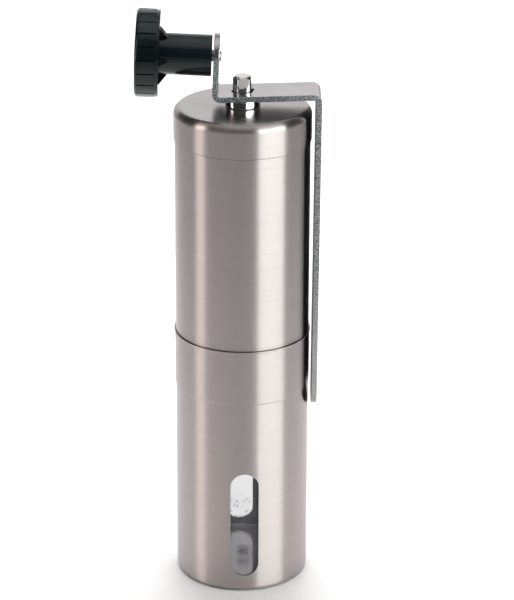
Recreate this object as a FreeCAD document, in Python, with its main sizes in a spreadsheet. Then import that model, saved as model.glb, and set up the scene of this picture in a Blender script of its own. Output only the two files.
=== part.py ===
# Hand crank coffee grinder of the slim travel kind: a steel catch cup with two sight windows, a steel
# hopper tube, a domed lid and a bent flat-bar crank parked over the lid.
# Frame: millimetres, +Z up, origin at the centre of the face the cup stands on. The long leg of the
# parked crank hangs on the +X side, and the sight windows look along Y.
import FreeCAD, Part
import Sketcher
import math
import os
import re
from FreeCAD import Placement, Rotation, Vector

document = FreeCAD.newDocument("coffee_grinder")

# ---------------------------------------------------------------- driving dimensions
# Lengths are radii or heights in mm and angles are in degrees. Heights are above the standing face.
SIZES = {
    # shared
    "body_radius": 23.5,
    "body_height": 175.7,
    "slip_gap": 0.05,
    "seat_gap": 0.02,
    "cut_margin": 1.0,
    # catch cup and its clear liner
    "cup_height": 93.4,
    "cup_wall": 0.8,
    "cup_floor": 3.4,
    "cup_base_round": 1.8,
    "cup_inner_round": 0.8,
    "band_length": 20.4,
    "band_step": 0.25,
    "band_ramp": 0.5,
    "rim_lip": 0.3,
    "rim_lip_height": 0.8,
    "window_width": 10.0,
    "window_bottom": 6.2,
    "window_length": 40.2,
    "window_turn": 2.4,
    "liner_wall": 1.0,
    "liner_floor": 1.2,
    "liner_corner": 1.3,
    "liner_top_gap": 3.9,
    # hopper tube
    "flange_thickness": 0.25,
    "tube_wall": 0.8,
    "tube_neck_step": 0.9,
    "tube_neck_ramp": 0.2,
    "tube_neck_gap": 0.03,
    # lid with its grip sleeve and collar
    "lid_step": 0.4,
    "lid_wall": 0.6,
    "lid_skirt": 11.7,
    "lid_edge_round": 2.8,
    "sleeve_lip": 1.5,
    "sleeve_thickness": 2.5,
    "sleeve_flange": 2.4,
    "collar_rim": 1.5,
    "collar_height": 3.1,
    "collar_wall": 1.0,
    "collar_clear": 0.3,
    "collar_break": 0.3,
    "nut_wall": 1.3,
    "nut_thickness": 2.2,
    "spigot_stick_out": 0.8,
    # burr housing
    "sleeve_in_tube": 13.15,
    "housing_flange_inset": 0.1,
    "neck_gap": 0.25,
    "neck_clear": 0.4,
    "throat_step": 1.2,
    "funnel_wall": 1.7,
    "funnel_top_land": 2.4,
    "core_wall": 1.5,
    "core_top_drop": 9.8,
    "spoke_width": 3.0,
    "spoke_depth": 5.0,
    "spoke_root": 1.3,
    "hub_wall": 2.1,
    "hub_depth": 7.5,
    "hub_drop": 2.8,
    "ring_drop": 6.0,
    "ring_width": 2.0,
    "ring_depth": 0.8,
    # burrs
    "outer_burr_radius": 17.0,
    "outer_burr_height": 15.0,
    "burr_mouth_wall": 4.0,
    "burr_waist_wall": 3.1,
    "burr_exit_wall": 1.4,
    "grind_band": 4.0,
    "retainer_thickness": 2.2,
    "retainer_wall": 0.7,
    "grind_gap": 0.6,
    "shoulder_gap": 2.3,
    "fine_band": 7.0,
    "spring_pocket_gap": 0.8,
    "spring_pocket_depth": 8.0,
    "nose_wall": 1.9,
    "burr_web": 1.0,
    "driver_wall": 4.5,
    "groove_depth": 0.5,
    "groove_width": 0.9,
    "ridge_depth": 1.2,
    "ridge_width": 2.4,
    # grinder shaft
    "shaft_radius": 3.0,
    "head_step": 0.4,
    "pentagon_overhang": 0.35,
    "pentagon_turn": 10.0,
    "pentagon_below_bar": 1.6,
    "stub_above_bar": 5.35,
    "stub_chamfer": 0.8,
    "flat_depth": 0.4,
    "thread_step": 0.5,
    "thread_chamfer": 0.4,
    "thread_below_plate": 14.0,
    "thread_start_drop": 2.0,
    "flats_above_driver": 2.0,
    # bushes, washers, clip and spring
    "bush_wall": 1.5,
    "bush_flange_rim": 1.5,
    "bush_flange_thickness": 1.0,
    "bridge_drop": 23.0,
    "bridge_rim_height": 6.0,
    "bridge_rim_wall": 1.4,
    "bridge_spoke_depth": 4.0,
    "washer_thickness": 0.6,
    "clip_reach": 2.0,
    "clip_thickness": 0.7,
    "clip_groove_depth": 0.6,
    "clip_gap_width": 4.0,
    "clip_below_bush": 0.3,
    "spring_offset": 1.5,
    "spring_wire_radius": 0.4,
    "spring_turns": 5.0,
    # adjuster
    "plate_margin": 0.5,
    "plate_thickness": 1.0,
    "dimple_radius": 0.7,
    "dimple_margin": 1.6,
    "wheel_margin": 3.0,
    "wheel_height": 9.0,
    "wheel_dish": 1.6,
    "wheel_rim": 2.0,
    "wheel_groove_width": 1.1,
    "wheel_groove_depth": 0.5,
    "wheel_bore_clear": 0.3,
    "nut_insert_wall": 1.5,
    "nut_insert_height": 4.0,
    "nut_insert_lift": 0.4,
    # crank bar
    "bar_thickness": 2.0,
    "bar_width": 15.6,
    "bar_bend_radius": 2.0,
    "riser_x": -8.92,
    "riser_lean": 2.4,
    "saddle_slope": 1.65,
    "arm_gap": 1.0,
    "arm_lean": 0.3,
    "knob_axis_above_lid": 17.6,
    "leg_length": 107.6,
    "drive_hole_clear": 0.2,
    "park_hole_clear": 0.75,
    "park_hole_turn": 15.0,
    # knob, its pin, washer and cap
    "pin_radius": 2.0,
    "pin_shoulder": 0.5,
    "pin_edge_break": 0.4,
    "pin_rivet_rim": 0.3,
    "pin_rivet_height": 0.7,
    "pin_head_rim": 1.4,
    "pin_head_height": 1.5,
    "pin_washer_rim": 1.2,
    "pin_washer_thickness": 0.7,
    "knob_end_play": 0.6,
    "knob_hub_wall": 5.0,
    "knob_disc_start": 18.45,
    "knob_thickness": 8.2,
    "knob_radius": 15.1,
    "knob_flange_inset": 0.25,
    "knob_flange_width": 1.2,
    "knob_edge_round": 1.3,
    "knob_bore_clear": 0.1,
    "knob_pocket_rim": 1.0,
    "knob_pocket_web": 2.4,
    "knob_recess_rim": 1.8,
    "knob_recess_depth": 0.8,
    "lobe_groove_width": 0.9,
    "lobe_groove_depth": 0.45,
    "lobe_turn": 6.0,
    "gusset_height": 3.7,
    "gusset_length": 2.8,
    "gusset_thickness": 1.1,
    "gusset_root": 0.5,
    "gusset_turn": -22.0,
    "cap_plug_depth": 2.0,
    "cap_dome": 0.35,
    "cap_edge": 1.2,
}

# Lengths that follow from the sizes above and are used by more than one piece.
DERIVED = {
    # round the shaft
    "head_radius": "shaft_radius + head_step",
    "pentagon_radius": "head_radius + pentagon_overhang",
    "shaft_flats": "2 * (shaft_radius - flat_depth)",
    "thread_radius": "shaft_radius - thread_step",
    "bore_radius": "shaft_radius + slip_gap",
    "bush_radius": "shaft_radius + bush_wall",
    "bush_flange": "bush_radius + bush_flange_rim",
    "hub_radius": "bush_radius + hub_wall",
    "clip_radius": "shaft_radius + clip_reach",
    "clip_groove_radius": "shaft_radius - clip_groove_depth",
    "spring_mean_radius": "shaft_radius + spring_offset",
    "spring_pocket_radius": "spring_mean_radius + spring_wire_radius + spring_pocket_gap",
    "driver_flats": "2 * (shaft_radius + driver_wall)",
    "plate_radius": "shaft_radius + driver_wall + plate_margin",
    "dimple_circle": "plate_radius - dimple_margin",
    "wheel_radius": "shaft_radius + driver_wall + wheel_margin",
    "nut_insert_flats": "2 * (thread_radius + nut_insert_wall)",
    "collar_bore": "head_radius + collar_clear",
    "collar_spigot": "collar_bore + collar_wall",
    "collar_radius": "collar_spigot + collar_rim",
    "nut_flats": "2 * (collar_spigot + nut_wall)",
    "park_hole_radius": "head_radius + park_hole_clear",
    "drive_hole_radius": "pentagon_radius + drive_hole_clear",
    # burrs
    "outer_burr_mouth": "outer_burr_radius - burr_mouth_wall",
    "outer_burr_waist": "outer_burr_radius - burr_waist_wall",
    "outer_burr_exit": "outer_burr_radius - burr_exit_wall",
    "retainer_bore": "outer_burr_radius - retainer_wall",
    "inner_burr_nose": "spring_pocket_radius + nose_wall",
    "inner_burr_shoulder": "outer_burr_waist - shoulder_gap",
    "throat_radius": "outer_burr_mouth + throat_step",
    # knob and pin
    "pin_tenon_radius": "pin_radius - pin_shoulder",
    "pin_rivet_radius": "pin_tenon_radius + pin_rivet_rim",
    "pin_head_radius": "pin_radius + pin_head_rim",
    "pin_washer_radius": "pin_head_radius + pin_washer_rim",
    "hub_of_knob_radius": "pin_radius + knob_hub_wall + knob_bore_clear",
    "knob_bore_radius": "pin_radius + knob_bore_clear",
    "knob_pocket_radius": "pin_washer_radius + knob_pocket_rim",
    "knob_recess_radius": "knob_pocket_radius + knob_recess_rim",
    "gusset_radius": "hub_of_knob_radius + gusset_height",
    "knob_length": "knob_disc_start + knob_thickness",
    "knob_pocket_floor": "knob_disc_start + knob_pocket_web",
    # heights of the cup and hopper stack
    "step_height": "cup_height - band_length",
    "tube_bottom": "cup_height + seat_gap + flange_thickness",
    "lid_under": "body_height - lid_wall",
    "skirt_bottom": "body_height - lid_skirt",
    "tube_top": "lid_under - sleeve_thickness",
    "tube_neck_radius": "body_radius - tube_neck_step",
    "lid_radius": "body_radius + lid_step",
    "lid_inner_radius": "lid_radius - lid_wall",
    "lid_inner_round": "lid_edge_round - lid_wall",
    # burr housing
    "neck_bottom": "step_height + band_ramp + neck_clear",
    "funnel_radius": "body_radius - tube_wall - funnel_wall",
    "spoke_end": "body_radius - tube_wall - spoke_root",
    "neck_radius": "body_radius + band_step - cup_wall - neck_gap",
    "burr_seat_radius": "outer_burr_radius + slip_gap",
    "liner_height": "neck_bottom - liner_top_gap",
    "outer_burr_bottom": "neck_bottom + retainer_thickness",
    "outer_burr_top": "outer_burr_bottom + outer_burr_height",
    "housing_top": "tube_bottom + sleeve_in_tube",
    "hub_top": "housing_top - hub_drop",
    "hub_bottom": "hub_top - hub_depth",
    # burr carriage: the inner burr's foot is level with the outer burr's at rest
    "inner_burr_radius": "outer_burr_exit - grind_gap",
    "pocket_floor": "outer_burr_top - spring_pocket_depth",
    "plate_bottom": "outer_burr_bottom - plate_thickness",
    "wheel_bottom": "plate_bottom - wheel_height",
    "nut_insert_bottom": "wheel_bottom + wheel_dish + nut_insert_lift",
    # upper bridge and the shaft's shoulder on it
    "bridge_top": "tube_top - bridge_drop",
    "shoulder_height": "bridge_top + bush_flange_thickness + washer_thickness",
    "clip_top": "bridge_top - bridge_rim_height - clip_below_bush",
    "spring_top": "hub_bottom - bush_flange_thickness - washer_thickness",
    # collar, bar and stub over the lid
    "collar_top": "body_height + collar_height",
    "bar_under": "collar_top + collar_radius * tan(saddle_slope) + seat_gap",
    "bar_middle": "bar_under + bar_thickness / 2",
    "arm_x": "body_radius + arm_gap + bar_thickness / 2",
    "drive_hole_height": "bar_middle - leg_length",
    "stub_top": "bar_under + bar_thickness + stub_above_bar",
    "knob_axis_height": "body_height + knob_axis_above_lid",
    "pin_washer_bottom": "knob_pocket_floor + slip_gap",
    "pin_head_bottom": "pin_washer_bottom + pin_washer_thickness",
}

sheet = document.addObject("Spreadsheet::Sheet", "Sizes")
for row, (name, value) in enumerate(SIZES.items(), start=1):
    sheet.set(f"A{row}", name)
    sheet.set(f"B{row}", str(value))
    sheet.setAlias(f"B{row}", name)
document.recompute()


def spelled_out(formula):
    """The formula with every derived length replaced by the driving sizes that make it."""
    while any(word in DERIVED for word in re.findall(r"\w+", formula)):
        formula = re.sub(r"\w+", lambda word: f"({DERIVED[word.group()]})" if word.group() in DERIVED
                         else word.group(), formula)
    return formula


def bound(formula):
    """A formula of size names as an expression on the spreadsheet's cells."""
    return re.sub(r"\w+", lambda word: f"Sizes.{word.group()}" if word.group() in SIZES
                  else word.group(), spelled_out(str(formula)))


def size(formula):
    """The number that a formula of size names stands for now."""
    return float(document.Sizes.evalExpression(bound(formula).replace("Sizes.", "")))


# ---------------------------------------------------------------- ways of making a piece
pieces = []


def new_piece(label):
    """An empty body that becomes one sub-part; its label names the exported file."""
    piece = document.addObject("PartDesign::Body", f"{label}_body")
    piece.Label = label
    pieces.append(piece)
    return piece


def new_sketch(piece, name, role="XZ_Plane"):
    """A sketch on one of the piece's own origin planes."""
    sketch = piece.newObject("Sketcher::SketchObject", f"{piece.Label}_{name}")
    plane = [item for item in piece.Origin.OriginFeatures if item.Role == role][0]
    sketch.AttachmentSupport = [(plane, "")]
    sketch.MapMode = "FlatFace"
    return sketch


def tie_point(sketch, curve, end, across, up):
    """Hold a curve's end (1 start, 2 end, 3 centre) at two formulas of the named sizes."""
    for kind, axis, formula in (("DistanceX", -2, across), ("DistanceY", -1, up)):
        if str(formula) == "0":
            sketch.addConstraint(Sketcher.Constraint("PointOnObject", curve, end, axis))
        else:
            index = sketch.addConstraint(Sketcher.Constraint(kind, -1, 1, curve, end, size(formula)))
            sketch.setExpression(f"Constraints[{index}]", bound(formula))


def tie_size(sketch, kind, curve, formula):
    """Hold a curve's radius, diameter or angle at a formula of the named sizes."""
    value = math.radians(size(formula)) if kind == "Angle" else size(formula)
    index = sketch.addConstraint(Sketcher.Constraint(kind, curve, value))
    unit = " * 1 deg" if kind == "Angle" else ""
    sketch.setExpression(f"Constraints[{index}]", f"({bound(formula)}){unit}")


def outline(sketch, corners):
    """Draw a closed straight-sided outline whose corners are pairs of formulas."""
    points = [Vector(size(across), size(up), 0) for across, up in corners]
    sides = [sketch.addGeometry(Part.LineSegment(point, points[(number + 1) % len(points)]))
             for number, point in enumerate(points)]
    for number, side in enumerate(sides):
        following = sides[(number + 1) % len(sides)]
        sketch.addConstraint(Sketcher.Constraint("Coincident", side, 2, following, 1))
    for side, (across, up) in zip(sides, corners):
        tie_point(sketch, side, 1, across, up)


def circle(sketch, across, up, radius):
    """Draw a circle at formulas of the named sizes."""
    centre = Vector(size(across), size(up), 0)
    ring = sketch.addGeometry(Part.Circle(centre, Vector(0, 0, 1), size(radius)))
    tie_point(sketch, ring, 3, across, up)
    tie_size(sketch, "Radius", ring, radius)


def regular(sides, radius, turn="0", across="0", up="0"):
    """Corner formulas of a regular polygon of the given corner radius, turned by an angle."""
    return [(f"{across} + ({radius}) * cos({turn} + {360 * number / sides})",
             f"{up} + ({radius}) * sin({turn} + {360 * number / sides})") for number in range(sides)]


def revolve(piece, name, corners):
    """Turn an outline of radius and height about the piece's Z axis."""
    sketch = new_sketch(piece, name)
    outline(sketch, corners)
    turned = piece.newObject("PartDesign::Revolution", f"{piece.Label}_{name}_turned")
    turned.Profile = sketch
    turned.ReferenceAxis = (sketch, ["V_Axis"])
    turned.Angle = 360
    return turned


def turned_piece(label, corners):
    """A piece turned from one outline."""
    piece = new_piece(label)
    revolve(piece, "section", corners)
    return piece


def removes(piece, build):
    """Run a step that cuts the piece, and stop if it took nothing away."""
    document.recompute()
    before = piece.Shape.Volume
    feature = build()
    document.recompute()
    if piece.Shape.Volume > before - 1e-6:
        raise RuntimeError(f"{feature.Label} cuts nothing from {piece.Label}")
    return feature


def pad(piece, sketch, length, middle=False, downwards=False):
    """Add the sketch's area over a length, to one side or about its plane."""
    feature = piece.newObject("PartDesign::Pad", f"{sketch.Name}_pad")
    feature.Profile = sketch
    feature.SideType = "Symmetric" if middle else "One side"
    feature.Reversed = downwards
    feature.setExpression("Length", bound(length))
    return feature


def pocket(piece, sketch, length=None, middle=False, upwards=False):
    """Cut the sketch's area over a length, or right through both ways when no length is given."""
    def build():
        feature = piece.newObject("PartDesign::Pocket", f"{sketch.Name}_pocket")
        feature.Profile = sketch
        if length is None:
            feature.Type = "ThroughAll"
            feature.SideType = "Symmetric"
        else:
            feature.SideType = "Symmetric" if middle else "One side"
            feature.Reversed = upwards
            feature.setExpression("Length", bound(length))
        return feature
    return removes(piece, build)


def groove(piece, name, corners):
    """Cut an outline turned about the piece's Z axis."""
    sketch = new_sketch(piece, name)
    outline(sketch, corners)

    def build():
        feature = piece.newObject("PartDesign::Groove", f"{sketch.Name}_groove")
        feature.Profile = sketch
        feature.ReferenceAxis = (sketch, ["V_Axis"])
        feature.Angle = 360
        return feature
    return removes(piece, build)


def raise_sketch(sketch, height):
    """Lift a sketch on the XY plane to a height."""
    sketch.setExpression("AttachmentOffset.Base.z", bound(height))


def around(piece, feature, count):
    """Repeat a feature evenly about the piece's Z axis."""
    pattern = piece.newObject("PartDesign::PolarPattern", f"{feature.Name}_pattern")
    pattern.Originals = [feature]
    pattern.Axis = ([item for item in piece.Origin.OriginFeatures if item.Role == "Z_Axis"][0], [""])
    pattern.Angle = 360
    pattern.Occurrences = count
    piece.Tip = pattern
    document.recompute()
    return pattern


def edge_names(piece, wanted):
    """Names of the tip shape's edges that a test picks out."""
    document.recompute()
    names = [f"Edge{number}" for number, edge in enumerate(piece.Tip.Shape.Edges, start=1) if wanted(edge)]
    if not names:
        raise RuntimeError(f"no edge of {piece.Label} fits the test")
    return names


def rings_at(radius, height):
    """A test for circular edges about Z with this radius at this height."""
    def wanted(edge):
        return (isinstance(edge.Curve, Part.Circle)
                and abs(edge.Curve.Radius - size(radius)) < 1e-3
                and abs(edge.Curve.Center.z - size(height)) < 1e-3
                and math.hypot(edge.Curve.Center.x, edge.Curve.Center.y) < 1e-3)
    return wanted


def blend(piece, name, wanted, radius, kind="Fillet"):
    """Round or chamfer the edges that a test picks out."""
    names = edge_names(piece, wanted)
    base = piece.Tip
    feature = piece.newObject(f"PartDesign::{kind}", f"{piece.Label}_{name}")
    feature.Base = (base, names)
    feature.setExpression("Radius" if kind == "Fillet" else "Size", bound(radius))
    document.recompute()
    return feature


# ---------------------------------------------------------------- catch cup
# Stainless cup with a thick base that weights its foot. The mouth is widened into a band that takes
# the burr housing's neck, and the two upright windows have full-round ends.
cup_inner = "body_radius - cup_wall"
cup = turned_piece("catch_cup", [
    ("0", "0"),
    ("body_radius", "0"),
    ("body_radius", "step_height"),
    ("body_radius + band_step", "step_height + band_ramp"),
    ("body_radius + band_step", "cup_height - rim_lip_height"),
    ("body_radius + band_step + rim_lip", "cup_height - rim_lip_height / 2"),
    ("body_radius + band_step + rim_lip", "cup_height"),
    ("body_radius + band_step - cup_wall", "cup_height"),
    ("body_radius + band_step - cup_wall", "step_height + band_ramp"),
    (cup_inner, "step_height"),
    (cup_inner, "cup_floor"),
    ("0", "cup_floor"),
])
blend(cup, "base_round", rings_at("body_radius", "0"), "cup_base_round")
blend(cup, "floor_round", rings_at(cup_inner, "cup_floor"), "cup_inner_round")


def slot(sketch, middle_low, middle_high, radius):
    """Draw an upright slot with round ends on the sketch's vertical axis."""
    low = Vector(0, size(middle_low), 0)
    high = Vector(0, size(middle_high), 0)
    reach = Vector(size(radius), 0, 0)
    flat = Vector(0, 0, 1)
    foot = sketch.addGeometry(Part.ArcOfCircle(Part.Circle(low, flat, size(radius)), math.pi, 2 * math.pi))
    right = sketch.addGeometry(Part.LineSegment(low + reach, high + reach))
    head = sketch.addGeometry(Part.ArcOfCircle(Part.Circle(high, flat, size(radius)), 0, math.pi))
    left = sketch.addGeometry(Part.LineSegment(high - reach, low - reach))
    for first, first_end, second, second_end in ((foot, 2, right, 1), (right, 2, head, 1),
                                                 (head, 2, left, 1), (left, 2, foot, 1)):
        sketch.addConstraint(Sketcher.Constraint("Tangent", first, first_end, second, second_end))
    tie_point(sketch, foot, 3, "0", middle_low)
    tie_point(sketch, head, 3, "0", middle_high)
    tie_size(sketch, "Radius", foot, radius)


window_sketch = new_sketch(cup, "window")
slot(window_sketch, "window_bottom + window_width / 2",
     "window_bottom + window_length - window_width / 2", "window_width / 2")
window_sketch.AttachmentOffset = Placement(Vector(), Rotation(Vector(0, 1, 0), size("window_turn")))
window_sketch.setExpression("AttachmentOffset.Rotation.Angle", bound("window_turn"))
pocket(cup, window_sketch)

# Clear moulded liner that closes the windows from inside.
liner_outer = "body_radius - cup_wall - slip_gap"
turned_piece("cup_liner", [
    ("0", "cup_floor"),
    (f"{liner_outer} - liner_corner", "cup_floor"),
    (liner_outer, "cup_floor + liner_corner"),
    (liner_outer, "liner_height"),
    (f"{liner_outer} - liner_wall", "liner_height"),
    (f"{liner_outer} - liner_wall", "cup_floor + liner_floor"),
    ("0", "cup_floor + liner_floor"),
])

# ---------------------------------------------------------------- hopper tube
# Rolled stainless tube, necked in at the top so that the lid sits nearly flush.
neck_start = "skirt_bottom - tube_neck_ramp - tube_neck_gap"
neck_end = "skirt_bottom - tube_neck_gap"
turned_piece("hopper_tube", [
    ("body_radius - tube_wall", "tube_bottom"),
    ("body_radius", "tube_bottom"),
    ("body_radius", neck_start),
    ("tube_neck_radius", neck_end),
    ("tube_neck_radius", "tube_top"),
    ("tube_neck_radius - tube_wall", "tube_top"),
    ("tube_neck_radius - tube_wall", neck_end),
    ("body_radius - tube_wall", neck_start),
])

# ---------------------------------------------------------------- burr housing
# One black moulding: a sleeve pressed into the tube, a thin flange between tube and cup, a neck that
# plugs into the cup, a funnel, and a three-spoke hub for the lower bush.
housing = turned_piece("burr_housing", [
    ("burr_seat_radius", "neck_bottom"),
    ("neck_radius", "neck_bottom"),
    ("neck_radius", "cup_height + seat_gap"),
    ("body_radius - housing_flange_inset", "cup_height + seat_gap"),
    ("body_radius - housing_flange_inset", "tube_bottom"),
    ("body_radius - tube_wall - slip_gap", "tube_bottom"),
    ("body_radius - tube_wall - slip_gap", "housing_top"),
    ("funnel_radius", "housing_top"),
    ("funnel_radius", "housing_top - funnel_top_land"),
    ("throat_radius", "outer_burr_top"),
    ("burr_seat_radius", "outer_burr_top"),
])
groove(housing, "core", [
    ("burr_seat_radius + core_wall", "neck_bottom"),
    ("neck_radius - core_wall", "neck_bottom"),
    ("neck_radius - core_wall", "cup_height - core_top_drop"),
    ("burr_seat_radius + core_wall", "cup_height - core_top_drop"),
])
groove(housing, "ring_groove", [
    ("neck_radius - ring_depth", "cup_height - ring_drop - ring_width / 2 - slip_gap"),
    ("neck_radius + cut_margin", "cup_height - ring_drop - ring_width / 2 - slip_gap"),
    ("neck_radius + cut_margin", "cup_height - ring_drop + ring_width / 2 + slip_gap"),
    ("neck_radius - ring_depth", "cup_height - ring_drop + ring_width / 2 + slip_gap"),
])
spoke_sketch = new_sketch(housing, "spoke", "XY_Plane")
outline(spoke_sketch, [("0", "-spoke_width / 2"), ("spoke_end", "-spoke_width / 2"),
                       ("spoke_end", "spoke_width / 2"), ("0", "spoke_width / 2")])
raise_sketch(spoke_sketch, "hub_top - spoke_depth")
spoke = pad(housing, spoke_sketch, "spoke_depth")
hub_sketch = new_sketch(housing, "hub", "XY_Plane")
circle(hub_sketch, "0", "0", "hub_radius")
raise_sketch(hub_sketch, "hub_bottom")
around(housing, spoke, 3)
pad(housing, hub_sketch, "hub_depth")
hub_bore = new_sketch(housing, "hub_bore", "XY_Plane")
circle(hub_bore, "0", "0", "bush_radius + slip_gap / 2")
pocket(housing, hub_bore)

# Soft ring in the neck's groove, which grips the cup's band.
ring_outer = "body_radius + band_step - cup_wall - slip_gap"
neck_ring = turned_piece("neck_ring", [
    ("neck_radius - ring_depth", "cup_height - ring_drop - ring_width / 2"),
    (ring_outer, "cup_height - ring_drop - ring_width / 2"),
    (ring_outer, "cup_height - ring_drop + ring_width / 2"),
    ("neck_radius - ring_depth", "cup_height - ring_drop + ring_width / 2"),
])
blend(neck_ring, "crown", lambda edge: rings_at(ring_outer, "cup_height - ring_drop - ring_width / 2")(edge)
      or rings_at(ring_outer, "cup_height - ring_drop + ring_width / 2")(edge), "ring_depth / 2")

# Bronze-coloured bush with its flange below the hub.
turned_piece("lower_bush", [
    ("bore_radius", "hub_bottom - bush_flange_thickness"),
    ("bush_flange", "hub_bottom - bush_flange_thickness"),
    ("bush_flange", "hub_bottom"),
    ("bush_radius", "hub_bottom"),
    ("bush_radius", "hub_top"),
    ("bore_radius", "hub_top"),
])

# ---------------------------------------------------------------- shaft bridge in the hopper
# Three-spoke moulding pressed into the tube that carries the upper bush.
bridge_outer = "body_radius - tube_wall - slip_gap"
bridge = turned_piece("shaft_bridge", [
    (f"{bridge_outer} - bridge_rim_wall", "bridge_top - bridge_rim_height"),
    (bridge_outer, "bridge_top - bridge_rim_height"),
    (bridge_outer, "bridge_top"),
    (f"{bridge_outer} - bridge_rim_wall", "bridge_top"),
])
bridge_spoke_sketch = new_sketch(bridge, "spoke", "XY_Plane")
outline(bridge_spoke_sketch, [("bush_radius", "-spoke_width / 2"),
                              (f"{bridge_outer} - bridge_rim_wall / 2", "-spoke_width / 2"),
                              (f"{bridge_outer} - bridge_rim_wall / 2", "spoke_width / 2"),
                              ("bush_radius", "spoke_width / 2")])
raise_sketch(bridge_spoke_sketch, "bridge_top - bridge_spoke_depth")
bridge_spoke = pad(bridge, bridge_spoke_sketch, "bridge_spoke_depth")
around(bridge, bridge_spoke, 3)
bridge_hub_sketch = new_sketch(bridge, "hub", "XY_Plane")
circle(bridge_hub_sketch, "0", "0", "hub_radius")
raise_sketch(bridge_hub_sketch, "bridge_top - bridge_rim_height")
pad(bridge, bridge_hub_sketch, "bridge_rim_height")
bridge_bore = new_sketch(bridge, "bore", "XY_Plane")
circle(bridge_bore, "0", "0", "bush_radius + slip_gap / 2")
pocket(bridge, bridge_bore)

turned_piece("upper_bush", [
    ("bore_radius", "bridge_top - bridge_rim_height"),
    ("bush_radius", "bridge_top - bridge_rim_height"),
    ("bush_radius", "bridge_top"),
    ("bush_flange", "bridge_top"),
    ("bush_flange", "bridge_top + bush_flange_thickness"),
    ("bore_radius", "bridge_top + bush_flange_thickness"),
])

# ---------------------------------------------------------------- grinder shaft
# Steel rod: pentagon stub at the top, a shoulder on the upper bush, flats for the burr driver and a
# threaded foot for the adjuster.
shaft = turned_piece("grinder_shaft", [
    ("0", "plate_bottom - thread_below_plate"),
    ("thread_radius - thread_chamfer", "plate_bottom - thread_below_plate"),
    ("thread_radius", "plate_bottom - thread_below_plate + thread_chamfer"),
    ("thread_radius", "plate_bottom - thread_start_drop"),
    ("shaft_radius", "plate_bottom - thread_start_drop"),
    ("shaft_radius", "shoulder_height"),
    ("head_radius", "shoulder_height"),
    ("head_radius", "stub_top - stub_chamfer"),
    ("head_radius - stub_chamfer", "stub_top"),
    ("0", "stub_top"),
])
stub_sketch = new_sketch(shaft, "pentagon", "XY_Plane")
circle(stub_sketch, "0", "0", "head_radius + cut_margin")
outline(stub_sketch, regular(5, "pentagon_radius", "pentagon_turn + 270 + 36"))
raise_sketch(stub_sketch, "stub_top")
pocket(shaft, stub_sketch, "stub_top - bar_under + pentagon_below_bar")
past_shaft = "shaft_radius + cut_margin"
flats_sketch = new_sketch(shaft, "flats", "XY_Plane")
for side in ("", "-"):
    outline(flats_sketch, [(f"-({past_shaft})", f"{side}(shaft_flats / 2)"),
                           (past_shaft, f"{side}(shaft_flats / 2)"),
                           (past_shaft, f"{side}({past_shaft})"),
                           (f"-({past_shaft})", f"{side}({past_shaft})")])
raise_sketch(flats_sketch, "plate_bottom - thread_start_drop")
pocket(shaft, flats_sketch, "pocket_floor + flats_above_driver - plate_bottom + thread_start_drop",
       upwards=True)
groove(shaft, "clip_groove", [
    ("clip_groove_radius", "clip_top - clip_thickness - slip_gap"),
    (past_shaft, "clip_top - clip_thickness - slip_gap"),
    (past_shaft, "clip_top + slip_gap"),
    ("clip_groove_radius", "clip_top + slip_gap"),
])


def washer(label, bore, radius, bottom, thickness):
    """A flat round washer."""
    return turned_piece(label, [
        (bore, bottom),
        (radius, bottom),
        (radius, f"{bottom} + {thickness}"),
        (bore, f"{bottom} + {thickness}"),
    ])


washer("thrust_washer", "bore_radius", "bush_flange", "bridge_top + bush_flange_thickness",
       "washer_thickness")
clip = washer("shaft_clip", "clip_groove_radius + slip_gap", "clip_radius", "clip_top - clip_thickness",
              "clip_thickness")
clip_mouth = new_sketch(clip, "mouth", "XY_Plane")
past_clip = "clip_radius + cut_margin"
outline(clip_mouth, [("0", "-clip_gap_width / 2"), (past_clip, "-clip_gap_width / 2"),
                     (past_clip, "clip_gap_width / 2"), ("0", "clip_gap_width / 2")])
pocket(clip, clip_mouth)

# ---------------------------------------------------------------- burrs
# Ceramic ring with a cone that opens downwards, held up in the housing by a threaded ring.


def cut_teeth(piece, name, corners, width, count):
    """Cut straight grooves down a cone: a strip of the section, given a width and repeated."""
    sketch = new_sketch(piece, name)
    outline(sketch, corners)
    cut = pocket(piece, sketch, width, middle=True)
    around(piece, cut, count)


outer_burr = turned_piece("outer_burr", [
    ("outer_burr_exit", "outer_burr_bottom"),
    ("outer_burr_radius", "outer_burr_bottom"),
    ("outer_burr_radius", "outer_burr_top"),
    ("outer_burr_mouth", "outer_burr_top"),
    ("outer_burr_waist", "outer_burr_bottom + grind_band"),
])
cut_teeth(outer_burr, "tooth", [
    ("outer_burr_waist - cut_margin", "outer_burr_bottom + grind_band"),
    ("outer_burr_waist + groove_depth", "outer_burr_bottom + grind_band"),
    ("outer_burr_mouth + groove_depth", "outer_burr_top + cut_margin"),
    ("outer_burr_mouth - cut_margin", "outer_burr_top + cut_margin"),
], "groove_width", 24)
washer("burr_retainer", "retainer_bore", "outer_burr_radius", "neck_bottom", "retainer_thickness")

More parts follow.
